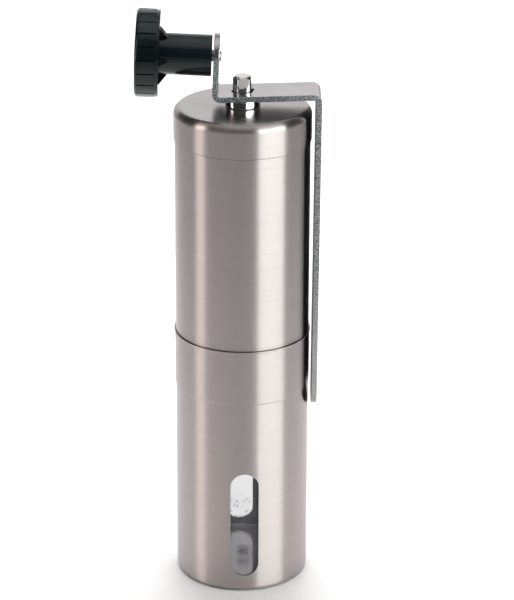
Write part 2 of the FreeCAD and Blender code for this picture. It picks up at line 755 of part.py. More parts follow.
# Ceramic cone with coarse ridges above and fine grooves in its grinding band.
inner_burr = turned_piece("inner_burr", [
    ("spring_pocket_radius", "pocket_floor"),
    ("spring_pocket_radius", "outer_burr_top"),
    ("inner_burr_nose", "outer_burr_top"),
    ("inner_burr_shoulder", "outer_burr_bottom + fine_band"),
    ("outer_burr_waist - grind_gap", "outer_burr_bottom + grind_band"),
    ("inner_burr_radius", "outer_burr_bottom"),
    ("bore_radius", "outer_burr_bottom"),
    ("bore_radius", "pocket_floor"),
])
driver_corner = "driver_flats / 2 / cos(30)"
driver_pocket = new_sketch(inner_burr, "driver_pocket", "XY_Plane")
outline(driver_pocket, regular(6, f"{driver_corner} + slip_gap"))
raise_sketch(driver_pocket, "outer_burr_bottom")
pocket(inner_burr, driver_pocket, "pocket_floor - outer_burr_bottom - burr_web", upwards=True)
cut_teeth(inner_burr, "ridge", [
    ("inner_burr_nose - ridge_depth", "outer_burr_top + cut_margin"),
    ("inner_burr_nose + cut_margin", "outer_burr_top + cut_margin"),
    ("inner_burr_shoulder + cut_margin", "outer_burr_bottom + fine_band"),
    ("inner_burr_shoulder - ridge_depth", "outer_burr_bottom + fine_band"),
], "ridge_width", 8)
cut_teeth(inner_burr, "tooth", [
    ("inner_burr_shoulder + cut_margin", "outer_burr_bottom + fine_band"),
    ("inner_burr_shoulder - groove_depth", "outer_burr_bottom + fine_band"),
    ("outer_burr_waist - grind_gap - groove_depth", "outer_burr_bottom + grind_band"),
    ("outer_burr_waist + cut_margin", "outer_burr_bottom + grind_band"),
], "groove_width", 24)


def shaft_hole(piece):
    """Cut the double-D hole that fits the shaft's flats."""
    sketch = new_sketch(piece, "shaft_hole", "XY_Plane")
    half_flat = "shaft_flats / 2 + slip_gap"
    half_chord = f"sqrt(pow(bore_radius; 2) - pow({half_flat}; 2))"
    rise = size(half_flat)
    run = size(half_chord)
    lean = math.atan2(rise, run)
    flat = Vector(0, 0, 1)
    hole = Part.Circle(Vector(), flat, size("bore_radius"))
    right = sketch.addGeometry(Part.ArcOfCircle(hole, -lean, lean))
    top = sketch.addGeometry(Part.LineSegment(Vector(run, rise, 0), Vector(-run, rise, 0)))
    left = sketch.addGeometry(Part.ArcOfCircle(hole, math.pi - lean, math.pi + lean))
    foot = sketch.addGeometry(Part.LineSegment(Vector(-run, -rise, 0), Vector(run, -rise, 0)))
    for first, second in ((right, top), (top, left), (left, foot), (foot, right)):
        sketch.addConstraint(Sketcher.Constraint("Coincident", first, 2, second, 1))
    for arc in (right, left):
        sketch.addConstraint(Sketcher.Constraint("Coincident", arc, 3, -1, 1))
    tie_point(sketch, top, 1, half_chord, half_flat)
    tie_point(sketch, left, 2, f"-({half_chord})", f"-({half_flat})")
    sketch.addConstraint(Sketcher.Constraint("Horizontal", top))
    sketch.addConstraint(Sketcher.Constraint("Horizontal", foot))
    return pocket(piece, sketch)


# Hexagonal acetal driver that keys the burr to the shaft's flats.
driver = new_piece("burr_driver")
driver_sketch = new_sketch(driver, "hexagon", "XY_Plane")
outline(driver_sketch, regular(6, driver_corner))
raise_sketch(driver_sketch, "outer_burr_bottom")
pad(driver, driver_sketch, "pocket_floor - outer_burr_bottom - burr_web")
shaft_hole(driver)

# Steel detent plate under the driver, dimpled for the adjuster's clicks.
plate = washer("click_plate", "thread_radius - cut_margin", "plate_radius", "plate_bottom", "plate_thickness")
shaft_hole(plate)
dimple_sketch = new_sketch(plate, "dimple", "XY_Plane")
circle(dimple_sketch, "dimple_circle", "0", "dimple_radius")
dimple = pocket(plate, dimple_sketch)
around(plate, dimple, 12)

# ---------------------------------------------------------------- spring and its seat washer
washer("spring_seat", "bore_radius", "bush_flange", "spring_top", "washer_thickness")


def coil_spring():
    """A round-wire compression spring between the seat washer and the burr's pocket."""
    spring = document.addObject("Part::Helix", "spring_line")
    usable = "spring_top - pocket_floor - 2 * spring_wire_radius - 2 * slip_gap"
    spring.setExpression("Height", bound(usable))
    spring.setExpression("Pitch", bound(f"({usable}) / spring_turns"))
    spring.setExpression("Radius", bound("spring_mean_radius"))
    wire = document.addObject("Part::Circle", "spring_section")
    wire.setExpression("Radius", bound("spring_wire_radius"))
    wire.Placement = Placement(Vector(size("spring_mean_radius"), 0, 0), Rotation(Vector(1, 0, 0), 90))
    wire.setExpression("Placement.Base.x", bound("spring_mean_radius"))
    swept = document.addObject("Part::Sweep", "burr_spring")
    swept.Sections = [wire]
    swept.Spine = (spring, ["Edge1"])
    swept.Solid = True
    swept.Frenet = True
    swept.setExpression("Placement.Base.z", bound("pocket_floor + spring_wire_radius + slip_gap"))
    swept.Label = "burr_spring"
    pieces.append(swept)


coil_spring()

# ---------------------------------------------------------------- adjuster
# Knurled wheel moulded round a brass nut that runs on the shaft's thread.
wheel = turned_piece("adjuster_wheel", [
    ("thread_radius + wheel_bore_clear", "wheel_bottom + wheel_dish"),
    ("wheel_radius - wheel_rim", "wheel_bottom + wheel_dish"),
    ("wheel_radius - wheel_rim", "wheel_bottom"),
    ("wheel_radius", "wheel_bottom"),
    ("wheel_radius", "plate_bottom - slip_gap"),
    ("thread_radius + wheel_bore_clear", "plate_bottom - slip_gap"),
])
nut_seat = new_sketch(wheel, "nut_seat", "XY_Plane")
nut_corner = "nut_insert_flats / 2 / cos(30)"
outline(nut_seat, regular(6, f"{nut_corner} + slip_gap / 2"))
raise_sketch(nut_seat, "nut_insert_bottom")
pocket(wheel, nut_seat, "wheel_height", upwards=True)
knurl = new_sketch(wheel, "knurl", "XY_Plane")
outline(knurl, [("wheel_radius - wheel_groove_depth", "0"),
                ("wheel_radius + cut_margin", "-wheel_groove_width"),
                ("wheel_radius + cut_margin", "wheel_groove_width")])
knurl_cut = pocket(wheel, knurl)
around(wheel, knurl_cut, 30)

nut = new_piece("adjuster_nut")
nut_sketch = new_sketch(nut, "hexagon", "XY_Plane")
outline(nut_sketch, regular(6, nut_corner))
circle(nut_sketch, "0", "0", "thread_radius + slip_gap")
raise_sketch(nut_sketch, "nut_insert_bottom")
pad(nut, nut_sketch, "nut_insert_height")

# ---------------------------------------------------------------- lid
# Pressed steel cap with a rounded edge, a sleeve that grips the tube's neck, and a chromed collar
# clamped through its centre by a thin hexagonal nut.
lid = turned_piece("lid_cap", [
    ("collar_spigot + slip_gap / 2", "body_height"),
    ("lid_radius", "body_height"),
    ("lid_radius", "skirt_bottom"),
    ("lid_inner_radius", "skirt_bottom"),
    ("lid_inner_radius", "lid_under"),
    ("collar_spigot + slip_gap / 2", "lid_under"),
])
blend(lid, "edge_round", rings_at("lid_radius", "body_height"), "lid_edge_round")
blend(lid, "inner_round", rings_at("lid_inner_radius", "lid_under"), "lid_inner_round")
sleeve_outer = "lid_inner_radius - slip_gap"
turned_piece("lid_sleeve", [
    ("tube_neck_radius + slip_gap", "skirt_bottom + sleeve_lip"),
    (sleeve_outer, "skirt_bottom + sleeve_lip"),
    (sleeve_outer, "lid_under - lid_inner_round"),
    (f"{sleeve_outer} - lid_inner_round", "lid_under"),
    ("tube_neck_radius - sleeve_flange", "lid_under"),
    ("tube_neck_radius - sleeve_flange", "tube_top + seat_gap"),
    ("tube_neck_radius + slip_gap", "tube_top + seat_gap"),
])
collar = turned_piece("lid_collar", [
    ("collar_bore", "lid_under - nut_thickness - spigot_stick_out"),
    ("collar_spigot", "lid_under - nut_thickness - spigot_stick_out"),
    ("collar_spigot", "body_height"),
    ("collar_radius", "body_height"),
    ("collar_radius", "collar_top"),
    ("collar_bore", "collar_top"),
])
blend(collar, "rim_break", lambda edge: rings_at("collar_radius", "collar_top")(edge)
      or rings_at("collar_radius", "body_height")(edge), "collar_break", "Chamfer")
collar_nut = new_piece("collar_nut")
collar_nut_sketch = new_sketch(collar_nut, "hexagon", "XY_Plane")
outline(collar_nut_sketch, regular(6, "nut_flats / 2 / cos(30)"))
circle(collar_nut_sketch, "0", "0", "collar_spigot + slip_gap / 2")
raise_sketch(collar_nut_sketch, "lid_under - nut_thickness")
pad(collar_nut, collar_nut_sketch, "nut_thickness")

# ---------------------------------------------------------------- crank bar
# Flat steel strip bent twice: a short riser that carries the knob, a saddle over the lid and a long
# leg down the side. Both ends are full round about their holes.
crank = new_piece("crank_arm")
strip_line = new_sketch(crank, "line")


def bent_line(sketch):
    """Draw the strip's middle line: riser, saddle and leg joined by tangent bends."""
    end_reach = size("bar_width / 2")
    riser_top = Vector(size("riser_x"), size("knob_axis_height") + end_reach, 0)
    riser_foot = Vector(size("riser_x"), size("bar_middle + bar_bend_radius"), 0)
    saddle_left = Vector(size("riser_x + bar_bend_radius"), size("bar_middle"), 0)
    saddle_right = Vector(size("arm_x - bar_bend_radius"), size("bar_middle"), 0)
    leg_top = Vector(size("arm_x"), size("bar_middle - bar_bend_radius"), 0)
    leg_foot = Vector(size("arm_x"), size("drive_hole_height") - end_reach, 0)
    bend = size("bar_bend_radius")
    flat = Vector(0, 0, 1)
    left_bend = Part.Circle(riser_foot + Vector(bend, 0, 0), flat, bend)
    right_bend = Part.Circle(saddle_right - Vector(0, bend, 0), flat, bend)
    riser = sketch.addGeometry(Part.LineSegment(riser_top, riser_foot))
    first_bend = sketch.addGeometry(Part.ArcOfCircle(left_bend, math.pi, 1.5 * math.pi))
    saddle = sketch.addGeometry(Part.LineSegment(saddle_left, saddle_right))
    second_bend = sketch.addGeometry(Part.ArcOfCircle(right_bend, 0, math.pi / 2))
    leg = sketch.addGeometry(Part.LineSegment(leg_top, leg_foot))
    for first, first_end, second, second_end in ((riser, 2, first_bend, 1), (first_bend, 2, saddle, 1),
                                                 (saddle, 2, second_bend, 2), (second_bend, 1, leg, 1)):
        sketch.addConstraint(Sketcher.Constraint("Tangent", first, first_end, second, second_end))
    tie_size(sketch, "Radius", first_bend, "bar_bend_radius")
    tie_size(sketch, "Radius", second_bend, "bar_bend_radius")
    tie_size(sketch, "Angle", riser, "270 - riser_lean")
    tie_size(sketch, "Angle", saddle, "saddle_slope")
    tie_size(sketch, "Angle", leg, "270 - arm_lean")
    tie_point(sketch, riser, 1, "riser_x + bar_width / 2 * sin(riser_lean)",
              "knob_axis_height + bar_width / 2 * cos(riser_lean)")
    tie_point(sketch, leg, 2, "arm_x", "drive_hole_height - bar_width / 2")
    centre = sketch.addGeometry(Part.Point(Vector(0, size("bar_middle"), 0)), True)
    tie_point(sketch, centre, 1, "0", "bar_middle")
    sketch.addConstraint(Sketcher.Constraint("PointOnObject", centre, 1, saddle))


bent_line(strip_line)
document.recompute()
strip_section = crank.newObject("Sketcher::SketchObject", "crank_arm_section")
strip_section.AttachmentSupport = [(strip_line, "Edge1"), (strip_line, "Vertex1")]
strip_section.MapMode = "NormalToEdge"
outline(strip_section, [("-bar_width / 2", "-bar_thickness / 2"), ("bar_width / 2", "-bar_thickness / 2"),
                        ("bar_width / 2", "bar_thickness / 2"), ("-bar_width / 2", "bar_thickness / 2")])
strip = crank.newObject("PartDesign::AdditivePipe", "crank_arm_strip")
strip.Profile = strip_section
strip.Spine = (strip_line, ["Edge1", "Edge2", "Edge3", "Edge4", "Edge5"])
document.recompute()


def round_end(piece, name, centre_height, upwards):
    """Trim a strip end to a half circle about a hole, with a cut along X."""
    sketch = new_sketch(piece, name, "YZ_Plane")
    sign = "" if upwards else "-"
    half = "bar_width / 2"
    reach = f"{centre_height} + {sign}(bar_width)"
    corners = [("-bar_width", centre_height), (f"-{half}", centre_height), (half, centre_height),
               ("bar_width", centre_height), ("bar_width", reach), ("-bar_width", reach)]
    points = [Vector(size(across), size(up), 0) for across, up in corners]
    sides = [sketch.addGeometry(Part.LineSegment(points[0], points[1]))]
    centre = Vector(0, size(centre_height), 0)
    half_circle = (0, math.pi) if upwards else (math.pi, 2 * math.pi)
    arc = Part.ArcOfCircle(Part.Circle(centre, Vector(0, 0, 1), size(half)), *half_circle)
    sides.append(sketch.addGeometry(arc))
    for number in range(2, len(points)):
        following = points[(number + 1) % len(points)]
        sides.append(sketch.addGeometry(Part.LineSegment(points[number], following)))
    near_end, far_end = (2, 1) if upwards else (1, 2)
    sketch.addConstraint(Sketcher.Constraint("Coincident", sides[0], 2, sides[1], near_end))
    sketch.addConstraint(Sketcher.Constraint("Coincident", sides[1], far_end, sides[2], 1))
    for number in range(2, len(sides)):
        following = sides[(number + 1) % len(sides)]
        sketch.addConstraint(Sketcher.Constraint("Coincident", sides[number], 2, following, 1))
    for side, (across, up) in zip([sides[0]] + sides[2:], [corners[0]] + corners[2:]):
        tie_point(sketch, side, 1, across, up)
    tie_point(sketch, sides[1], 3, "0", centre_height)
    return pocket(piece, sketch)


round_end(crank, "riser_end", "knob_axis_height", True)
round_end(crank, "leg_end", "drive_hole_height", False)
park_hole = new_sketch(crank, "park_hole", "XY_Plane")
outline(park_hole, regular(6, "park_hole_radius", "park_hole_turn"))
pocket(crank, park_hole)
drive_hole = new_sketch(crank, "drive_hole", "YZ_Plane")
outline(drive_hole, regular(5, "drive_hole_radius", "90", "0", "drive_hole_height"))
pocket(crank, drive_hole)
pin_hole = new_sketch(crank, "pin_hole", "YZ_Plane")
circle(pin_hole, "0", "knob_axis_height", "pin_tenon_radius + slip_gap")
pocket(crank, pin_hole)

# ---------------------------------------------------------------- knob, pin, washer and cap
# Turned about their own Z axis, which starts on the riser's outer face and runs out along the pin.


def hang_on_pin(piece):
    """Place a piece so that its Z axis is the knob pin's."""
    piece.Placement = Placement(Vector(), Rotation(Vector(0, 1, 0), -90 + size("riser_lean")))
    piece.setExpression("Placement.Base.x", bound("riser_x - bar_thickness / 2 * cos(riser_lean)"))
    piece.setExpression("Placement.Base.z", bound("knob_axis_height + bar_thickness / 2 * sin(riser_lean)"))
    return piece


hang_on_pin(turned_piece("knob_pin", [
    ("0", "-bar_thickness - pin_rivet_height"),
    ("pin_rivet_radius - pin_edge_break", "-bar_thickness - pin_rivet_height"),
    ("pin_rivet_radius", "-bar_thickness - pin_rivet_height + pin_edge_break"),
    ("pin_rivet_radius", "-bar_thickness"),
    ("pin_tenon_radius", "-bar_thickness"),
    ("pin_tenon_radius", "0"),
    ("pin_radius", "0"),
    ("pin_radius", "pin_head_bottom"),
    ("pin_head_radius", "pin_head_bottom"),
    ("pin_head_radius", "pin_head_bottom + pin_head_height - pin_edge_break"),
    ("pin_head_radius - pin_edge_break", "pin_head_bottom + pin_head_height"),
    ("0", "pin_head_bottom + pin_head_height"),
]))
hang_on_pin(washer("pin_washer", "pin_radius + slip_gap", "pin_washer_radius", "pin_washer_bottom",
                   "pin_washer_thickness - slip_gap"))

knob = turned_piece("knob", [
    ("knob_bore_radius", "knob_end_play"),
    ("hub_of_knob_radius", "knob_end_play"),
    ("hub_of_knob_radius", "knob_disc_start"),
    ("knob_radius - knob_flange_inset", "knob_disc_start"),
    ("knob_radius - knob_flange_inset", "knob_disc_start + knob_flange_width"),
    ("knob_radius", "knob_disc_start + knob_flange_width"),
    ("knob_radius", "knob_length"),
    ("knob_recess_radius", "knob_length"),
    ("knob_recess_radius", "knob_length - knob_recess_depth"),
    ("knob_pocket_radius", "knob_length - knob_recess_depth"),
    ("knob_pocket_radius", "knob_pocket_floor"),
    ("knob_bore_radius", "knob_pocket_floor"),
])
blend(knob, "edge_round", rings_at("knob_radius", "knob_length"), "knob_edge_round")
gusset_sketch = new_sketch(knob, "gusset")
outline(gusset_sketch, [("hub_of_knob_radius - gusset_root", "knob_disc_start + gusset_root"),
                        ("gusset_radius", "knob_disc_start + gusset_root"),
                        ("gusset_radius", "knob_disc_start"),
                        ("hub_of_knob_radius", "knob_disc_start - gusset_length"),
                        ("hub_of_knob_radius - gusset_root", "knob_disc_start - gusset_length")])
gusset_sketch.AttachmentOffset = Placement(Vector(), Rotation(Vector(0, 1, 0), size("gusset_turn")))
gusset_sketch.setExpression("AttachmentOffset.Rotation.Angle", bound("gusset_turn"))
gusset = pad(knob, gusset_sketch, "gusset_thickness", middle=True)
around(knob, gusset, 5)
lobe_sketch = new_sketch(knob, "lobe_groove", "XY_Plane")
outline(lobe_sketch, [("knob_radius - lobe_groove_depth", "0"),
                      ("knob_radius + cut_margin", "-lobe_groove_width"),
                      ("knob_radius + cut_margin", "lobe_groove_width")])
lobe_sketch.AttachmentOffset = Placement(Vector(), Rotation(Vector(0, 0, 1), size("lobe_turn")))
lobe_sketch.setExpression("AttachmentOffset.Rotation.Angle", bound("lobe_turn"))
raise_sketch(lobe_sketch, "knob_disc_start + knob_flange_width")
lobe_cut = pocket(knob, lobe_sketch, "knob_length", upwards=True)
around(knob, lobe_cut, 20)
hang_on_pin(knob)

hang_on_pin(turned_piece("knob_cap", [
    ("0", "knob_length - knob_recess_depth - cap_plug_depth"),
    ("knob_pocket_radius - slip_gap", "knob_length - knob_recess_depth - cap_plug_depth"),
    ("knob_pocket_radius - slip_gap", "knob_length - knob_recess_depth"),
    ("knob_recess_radius - slip_gap", "knob_length - knob_recess_depth"),
    ("knob_recess_radius - slip_gap", "knob_length"),
    ("knob_recess_radius - cap_edge", "knob_length + cap_dome"),
    ("0", "knob_length + cap_dome"),
]))

# ---------------------------------------------------------------- check and write every piece
document.recompute()
for item in document.Objects:
    if "Invalid" in item.State or "Error" in item.State:
        raise RuntimeError(f"{item.Label} failed: {item.State}")
os.makedirs("parts", exist_ok=True)
for piece in pieces:
    if piece.Shape.isNull() or not piece.Shape.isValid():
        raise RuntimeError(f"{piece.Label} has no valid shape")
    piece.Shape.exportStep(f"parts/{piece.Label}.step")
print(f"{len(pieces)} pieces written")
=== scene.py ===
import math

import bpy
from mathutils import Matrix, Vector


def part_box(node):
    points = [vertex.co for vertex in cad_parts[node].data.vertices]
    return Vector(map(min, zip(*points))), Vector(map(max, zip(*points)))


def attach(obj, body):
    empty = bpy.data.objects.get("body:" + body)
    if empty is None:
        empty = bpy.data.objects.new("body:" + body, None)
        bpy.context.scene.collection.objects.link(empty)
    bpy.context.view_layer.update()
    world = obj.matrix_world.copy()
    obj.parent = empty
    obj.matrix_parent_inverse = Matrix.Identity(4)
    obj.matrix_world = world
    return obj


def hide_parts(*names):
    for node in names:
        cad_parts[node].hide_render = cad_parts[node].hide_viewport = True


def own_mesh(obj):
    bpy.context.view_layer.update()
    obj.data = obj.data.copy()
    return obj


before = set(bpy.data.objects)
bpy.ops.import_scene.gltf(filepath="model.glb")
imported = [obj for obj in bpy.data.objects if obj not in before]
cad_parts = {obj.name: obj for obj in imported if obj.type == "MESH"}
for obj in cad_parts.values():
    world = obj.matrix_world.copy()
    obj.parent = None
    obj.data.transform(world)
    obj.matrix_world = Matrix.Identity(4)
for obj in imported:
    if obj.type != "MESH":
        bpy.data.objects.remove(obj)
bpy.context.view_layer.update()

# ---------------------------------------------------------------- catch cup
# Drawn stainless cup with two sight windows and a widened band at its mouth. Its outside is brushed
# round and round, so its highlights run up and down. Its inside is smoother, and painted dark blue-grey
# as painted shade. Its floor is painted pale lilac, a painted reflection of the light that comes in
# through the windows.
STEEL = (0.525, 0.472, 0.460)
STEEL_DARK = (0.475, 0.425, 0.412)
# Painted shade: the inside of the cup and the tube is painted dark blue-grey.
STEEL_INSIDE_SHADE = (0.14, 0.165, 0.18)
# Painted reflection: the cup's floor is painted pale lilac for the window light that it reflects.
STEEL_CUP_FLOOR_PAINTED_LIGHT = (0.96, 0.93, 0.98)
CUP_INSIDE_RADIUS = 0.02285
ABOVE_CUP_FLOOR = 0.0003
CUP_FLOOR_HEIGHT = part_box("cup_liner")[0][2] + ABOVE_CUP_FLOOR
LID_UNDERSIDE = 0.16
BRUSH_ROUGHNESS = (0.30, 0.37)
INSIDE_SMOOTHER = 0.16
FLOOR_SMOOTHER = 0.08
HIGHLIGHT_STRETCH = 0.97
ACROSS_BRUSHING = 0.25
FINE_BRUSHING = (14, 14, 3400)
BROAD_BRUSHING = (9, 9, 900)
FINE_SHARE = 0.85
BROAD_SHARE = 0.15
STEEL_CLOUDS_PER_METRE = 22.0
STEEL_CLOUD_STRETCH = (1, 1, 0.6)
STEEL_CLOUD_SPREAD = (0.3, 0.75)
STEEL_CLOUD_MOST = 0.35
BRUSH_DEPTH = 0.000008
BRUSH_RELIEF = 0.25

# A noise's values lie mostly between 0.3 and 0.7. A spread is the part of that in which a pattern
# goes from nothing to its full strength.
WHOLE_SPREAD = (0.3, 0.7)
EVEN_SPREAD = (0.35, 0.65)
UNSTRETCHED = (1, 1, 1)
PLAIN_DETAIL = 1.0
SOME_DETAIL = 2.0
MUCH_DETAIL = 3.0
FIRST_INPUT = 0
SECOND_INPUT = 1
MIX_SHARE = 0
MIX_FIRST = 6
MIX_SECOND = 7
MIXED_COLOUR = 2


def opaque(colour):
    """A colour of three parts with full alpha."""
    return (*colour, 1.0)


def new_finish(name, colour, metallic=0.0, roughness=0.5, **settings):
    """A material with these plain values, under any patterns that are linked to its shader later."""
    finish = bpy.data.materials.new(name)
    finish.use_nodes = True
    sockets = finish.node_tree.nodes["Principled BSDF"].inputs
    sockets["Base Color"].default_value = opaque(colour)
    sockets["Metallic"].default_value = metallic
    sockets["Roughness"].default_value = roughness
    for setting, value in settings.items():
        sockets[setting.replace("_", " ").title().replace("Ior", "IOR")].default_value = value
    return finish


def add_node(finish, kind, inputs=None, **settings):
    """A new node with its settings, and its inputs either set to values or linked from outputs."""
    made = finish.node_tree.nodes.new(kind)
    for key, value in settings.items():
        setattr(made, key, value)
    for key, value in (inputs or {}).items():
        if isinstance(value, bpy.types.NodeSocket):
            finish.node_tree.links.new(value, made.inputs[key])
        else:
            made.inputs[key].default_value = value
    return made


def to_shader(finish, output, socket):
    """Link an output to one of the shader's sockets."""
    shader = finish.node_tree.nodes["Principled BSDF"]
    finish.node_tree.links.new(output, shader.inputs[socket])


def own_place(finish, stretch=UNSTRETCHED):
    """The piece's own coordinates in metres, stretched along each axis."""
    place = add_node(finish, "ShaderNodeTexCoord").outputs["Object"]
    return add_node(finish, "ShaderNodeMapping", {"Vector": place, "Scale": stretch}).outputs["Vector"]


def noise(finish, cells_per_metre, detail=SOME_DETAIL, stretch=UNSTRETCHED):
    """Noise over the piece, with this many cells to a metre before it is stretched."""
    place = own_place(finish, stretch)
    return add_node(finish, "ShaderNodeTexNoise",
                    {"Vector": place, "Scale": cells_per_metre, "Detail": detail}).outputs["Fac"]


def ranged(finish, value, spread, low, high):
    """A value moved from its spread to another range and kept inside it."""
    return add_node(finish, "ShaderNodeMapRange",
                    {"Value": value, "From Min": spread[0], "From Max": spread[1],
                     "To Min": low, "To Max": high}).outputs["Result"]


def between(finish, share, first, second):
    """A colour between two, by a share from 0 to 1; each is a plain colour or a node's output."""
    ends = [end if isinstance(end, bpy.types.NodeSocket) else opaque(end) for end in (first, second)]
    mixed = add_node(finish, "ShaderNodeMix",
                     {MIX_SHARE: share, MIX_FIRST: ends[0], MIX_SECOND: ends[1]}, data_type="RGBA")
    return mixed.outputs[MIXED_COLOUR]


def shaded(finish, pattern, spread, first, second):
    """Base colour that goes from the first to the second as the pattern crosses its spread."""
    share = ranged(finish, pattern, spread, 0.0, 1.0)
    to_shader(finish, between(finish, share, first, second), "Base Color")


def glossed(finish, pattern, smoothest, roughest, spread=WHOLE_SPREAD):
    """Roughness that goes from smoothest to roughest as the pattern crosses its spread."""
    to_shader(finish, ranged(finish, pattern, spread, smoothest, roughest), "Roughness")


def worked(finish, operation, first, second=0.0):
    """A Math node on two values or outputs."""
    return add_node(finish, "ShaderNodeMath", {FIRST_INPUT: first, SECOND_INPUT: second},
                    operation=operation).outputs["Value"]


def bumped(finish, height, depth, strength):
    """Relief of a given depth in metres from a height between 0 and 1."""
    relief = add_node(finish, "ShaderNodeBump", {"Height": height, "Distance": depth, "Strength": strength})
    to_shader(finish, relief.outputs["Normal"], "Normal")


def axes_of(finish, vector):
    """The three parts of a vector."""
    parts = add_node(finish, "ShaderNodeSeparateXYZ", {"Vector": vector})
    return parts.outputs["X"], parts.outputs["Y"], parts.outputs["Z"]


def give_finish(piece, finish):
    """Make this the piece's only material."""
    piece.data.materials.clear()
    piece.data.materials.append(finish)


body_steel = new_finish("brushed_body_steel", STEEL, metallic=1.0, roughness=BRUSH_ROUGHNESS[0],
                        anisotropic=HIGHLIGHT_STRETCH, anisotropic_rotation=ACROSS_BRUSHING)
fine_lines = noise(body_steel, 1.0, MUCH_DETAIL, FINE_BRUSHING)
broad_lines = noise(body_steel, 1.0, SOME_DETAIL, BROAD_BRUSHING)
steel_cloud = noise(body_steel, STEEL_CLOUDS_PER_METRE, SOME_DETAIL, STEEL_CLOUD_STRETCH)
streaks = worked(body_steel, "ADD", worked(body_steel, "MULTIPLY", fine_lines, FINE_SHARE),
                 worked(body_steel, "MULTIPLY", broad_lines, BROAD_SHARE))
streak_share = ranged(body_steel, streaks, EVEN_SPREAD, 0.0, 1.0)
streaked = between(body_steel, streak_share, STEEL_DARK, STEEL)
cloud_share = ranged(body_steel, steel_cloud, STEEL_CLOUD_SPREAD, 0.0, STEEL_CLOUD_MOST)
outside_tone = between(body_steel, cloud_share, streaked, STEEL_DARK)

steel_x, steel_y, steel_z = axes_of(body_steel, own_place(body_steel))
radius_squared = worked(body_steel, "ADD", worked(body_steel, "MULTIPLY", steel_x, steel_x),
                        worked(body_steel, "MULTIPLY", steel_y, steel_y))
steel_radius = worked(body_steel, "SQRT", radius_squared)
inside = worked(body_steel, "MULTIPLY", worked(body_steel, "LESS_THAN", steel_radius, CUP_INSIDE_RADIUS),
                worked(body_steel, "LESS_THAN", steel_z, LID_UNDERSIDE))
cup_floor = worked(body_steel, "MULTIPLY", inside,
                   worked(body_steel, "LESS_THAN", steel_z, CUP_FLOOR_HEIGHT))
# Painted shade: inside the cup and the tube the colour turns dark blue-grey.
tone_with_inside_shade = between(body_steel, inside, outside_tone, STEEL_INSIDE_SHADE)
# Painted reflection: the cup's floor is painted pale lilac.
to_shader(body_steel, between(body_steel, cup_floor, tone_with_inside_shade, STEEL_CUP_FLOOR_PAINTED_LIGHT), "Base Color")
smoother = worked(body_steel, "ADD", worked(body_steel, "MULTIPLY", inside, INSIDE_SMOOTHER),
                  worked(body_steel, "MULTIPLY", cup_floor, FLOOR_SMOOTHER))
brushed = ranged(body_steel, streaks, WHOLE_SPREAD, *BRUSH_ROUGHNESS)
to_shader(body_steel, worked(body_steel, "SUBTRACT", brushed, smoother), "Roughness")
bumped(body_steel, fine_lines, BRUSH_DEPTH, BRUSH_RELIEF)
round_the_axis = add_node(body_steel, "ShaderNodeTangent", direction_type="RADIAL", axis="Z")
to_shader(body_steel, round_the_axis.outputs["Tangent"], "Tangent")
give_finish(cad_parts["catch_cup"], body_steel)

# ---------------------------------------------------------------- cup liner
# Clear moulded beaker pushed into the cup, which closes the windows from inside. It is a little
# scuffed up and down, and specks of coffee dust cling to it. Its floor shows the mark where the mould
# was filled, and beside it a painted dark spot that is a painted reflection of that gate mark.
CLEAR = (0.52, 0.51, 0.55)
COFFEE_DUST_AND_REFLECTION = (0.30, 0.26, 0.24)
CLEAN_ALPHA = 0.13
MARKED_ALPHA = 0.8
CLEAR_ROUGHNESS = (0.03, 0.14)
SPECKS_PER_METRE = 900.0
SPECK_SPREAD = (0.69, 0.73)
DUST_PATCHES_PER_METRE = 120.0
DUST_PATCH_SPREAD = (0.45, 0.6)
SCUFFS_PER_METRE = 500.0
SCUFF_STRETCH = (1, 1, 0.15)
PATCHY_SPREAD = (0.4, 0.7)
BLOTCHES_PER_METRE = 700.0
RAGGED_BY = 0.0014
MARK_CORE = 0.6
LINER_FLOOR = 0.0046
GATE_MARK = (0.0003, 0.0017, LINER_FLOOR)
GATE_MARK_RADIUS = 0.0034
GATE_MARK_STRENGTH = 0.8
# Painted reflection: a ragged dark spot beside the gate mark that stands for its mirrored image.
GATE_MARK_REFLECTION = (0.0004, -0.0063, LINER_FLOOR)
GATE_MARK_REFLECTION_RADIUS = 0.0040
GATE_MARK_REFLECTION_STRENGTH = 0.45

clear_plastic = new_finish("clear_plastic", CLEAR, roughness=0.05, ior=1.49)
specks = noise(clear_plastic, SPECKS_PER_METRE, PLAIN_DETAIL)
dust_patches = noise(clear_plastic, DUST_PATCHES_PER_METRE, PLAIN_DETAIL)
scuffs = noise(clear_plastic, SCUFFS_PER_METRE, MUCH_DETAIL, SCUFF_STRETCH)
blotches = noise(clear_plastic, BLOTCHES_PER_METRE, MUCH_DETAIL)
marks = worked(clear_plastic, "MULTIPLY", ranged(clear_plastic, specks, SPECK_SPREAD, 0.0, 1.0),
               ranged(clear_plastic, dust_patches, DUST_PATCH_SPREAD, 0.0, 1.0))
for mark_place, mark_radius, mark_strength in (
        (GATE_MARK, GATE_MARK_RADIUS, GATE_MARK_STRENGTH),
        (GATE_MARK_REFLECTION, GATE_MARK_REFLECTION_RADIUS, GATE_MARK_REFLECTION_STRENGTH)):
    across = add_node(clear_plastic, "ShaderNodeVectorMath",
                      {FIRST_INPUT: own_place(clear_plastic), SECOND_INPUT: mark_place},
                      operation="DISTANCE").outputs["Value"]
    ragged = worked(clear_plastic, "ADD", across,
                    ranged(clear_plastic, blotches, WHOLE_SPREAD, 0.0, RAGGED_BY))
    mark = ranged(clear_plastic, ragged, (mark_radius * MARK_CORE, mark_radius), mark_strength, 0.0)
    marks = worked(clear_plastic, "MAXIMUM", marks, mark)
